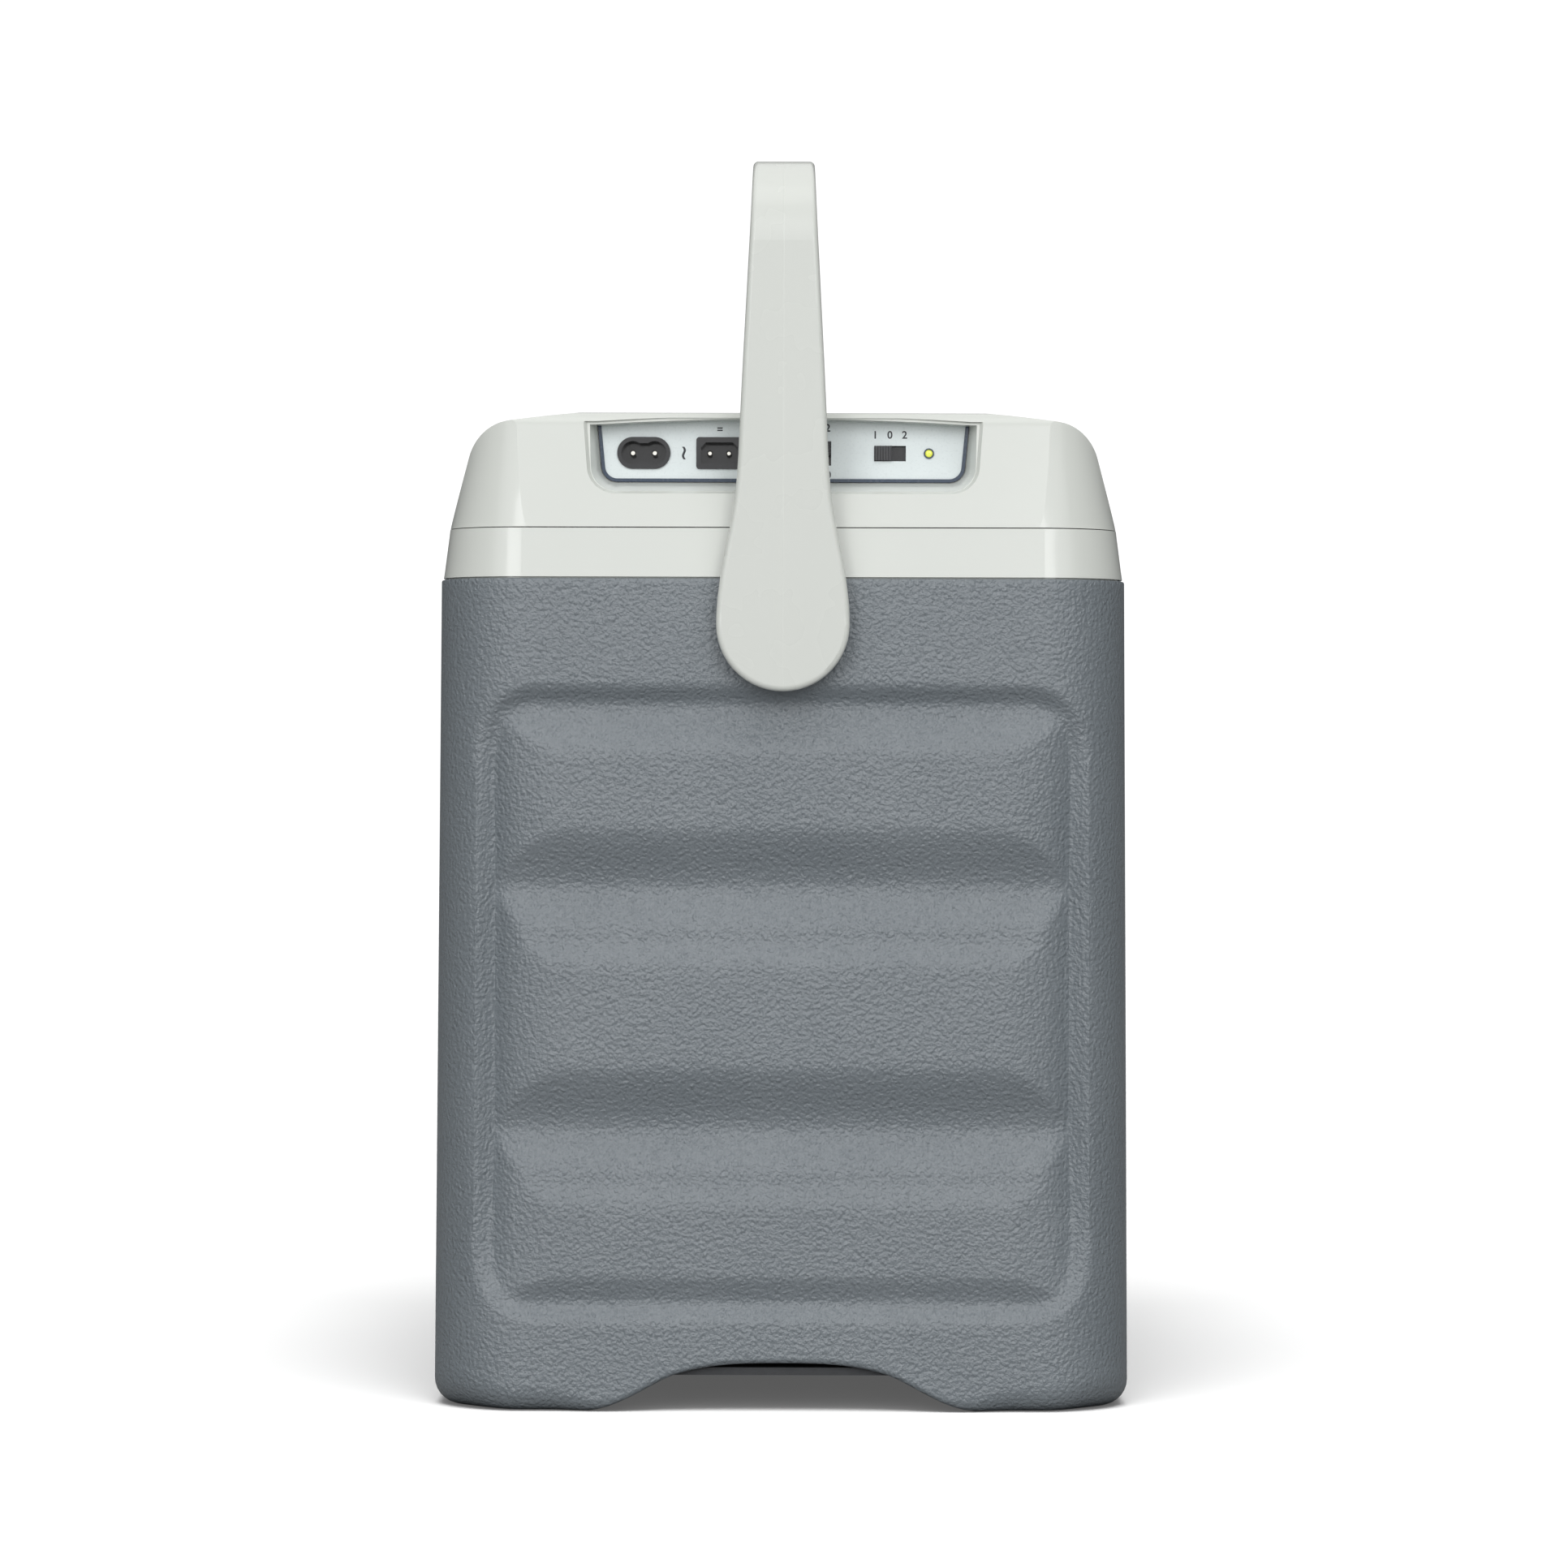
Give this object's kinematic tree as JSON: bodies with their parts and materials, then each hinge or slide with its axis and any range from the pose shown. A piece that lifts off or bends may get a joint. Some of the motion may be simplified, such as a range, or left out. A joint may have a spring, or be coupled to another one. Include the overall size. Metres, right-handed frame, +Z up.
{
  "type": "thermoelectric cool box",
  "caption": "Portable thermoelectric cool box with a bail handle, relief-panelled grey shell, white collar and a lift-off domed lid that holds the controls and cooling unit.",
  "frame": {"origin": "on the floor, under the middle of the bounding box", "axes": "+Z up, -Y towards the end with the control panel, +X towards the long side with the badge"},
  "size_m": [0.2738, 0.4244, 0.49],
  "materials": {
    "grey_shell": "grained",
    "dark_plate": "moulded",
    "white_gloss": "polished",
    "liner_white": "satin",
    "foam": "expanded foam",
    "acetal": "moulded",
    "steel": "zinc plated",
    "badge_metal": "satin",
    "panel": "printed film",
    "navy": "moulded",
    "black_plastic": "moulded",
    "knob": "ribbed",
    "pin_metal": "plated",
    "lens": "tinted",
    "board": "solder mask",
    "aluminium": "extruded",
    "ceramic": "fired ceramic",
    "seal_rubber": "soft",
    "lead_insulation": "smooth"
  },
  "bodies": {
    "box": {"outer_shell": "grey_shell", "bottom_plate": "dark_plate", "bottom_screws": "steel", "inner_liner": "liner_white", "body_foam": "foam", "collar": "white_gloss", "handle_pivot_front": "acetal", "handle_pivot_rear": "acetal", "pivot_washer_front": "acetal", "pivot_washer_rear": "acetal", "badge": "badge_metal"},
    "handle": {"handle": "white_gloss"},
    "lid": {"lid_cover": "white_gloss", "lid_seal": "seal_rubber", "lid_base": "liner_white", "lid_screws": "steel", "lid_foam": "foam", "spacer_block": "aluminium", "thermoelectric_module": "ceramic", "module_gasket": "seal_rubber", "hot_heat_sink": "aluminium", "cold_heat_sink": "aluminium", "sink_screws": "steel", "hot_fan_frame": "black_plastic", "cold_fan_frame": "black_plastic", "top_grille": "white_gloss", "rear_grille": "dark_plate", "cold_grille": "liner_white", "grille_screws": "steel", "panel_bezel": "navy", "control_panel": "panel", "ac_inlet_housing": "black_plastic", "ac_inlet_pins": "pin_metal", "dc_inlet_housing": "black_plastic", "dc_inlet_pins": "pin_metal", "mode_switch_body": "black_plastic", "power_switch_body": "black_plastic", "lamp_bezel": "navy", "lamp_lens": "lens", "control_board": "board", "power_supply": "black_plastic", "wiring": "lead_insulation"},
    "hot_fan": {"hot_fan_rotor": "black_plastic"},
    "cold_fan": {"cold_fan_rotor": "black_plastic"},
    "mode_knob": {"mode_switch_knob": "knob"},
    "power_knob": {"power_switch_knob": "knob"}
  },
  "joints": [
    {"name": "handle_swing", "type": "hinge", "parent": "box", "child": "handle", "pos_m": [0, 0, 0.307], "axis": [0, 1, 0], "range_deg": [-118, 118]},
    {"name": "lid_lift", "type": "slide", "parent": "box", "child": "lid", "axis": [0, 0, 1], "range_m": [0, 0.07]},
    {"name": "mode_slide", "type": "slide", "parent": "lid", "child": "mode_knob", "axis": [1, 0, 0], "range_m": [0, 0.0054]},
    {"name": "power_slide", "type": "slide", "parent": "lid", "child": "power_knob", "axis": [0, 0, -1], "range_m": [0, 0.004]},
    {"name": "hot_fan_spin", "type": "hinge", "parent": "lid", "child": "hot_fan", "pos_m": [0, 0, 0.375], "axis": [0, 0, 1], "continuous": true},
    {"name": "cold_fan_spin", "type": "hinge", "parent": "lid", "child": "cold_fan", "pos_m": [0, 0, 0.295], "axis": [0, 0, 1], "continuous": true}
  ]
}
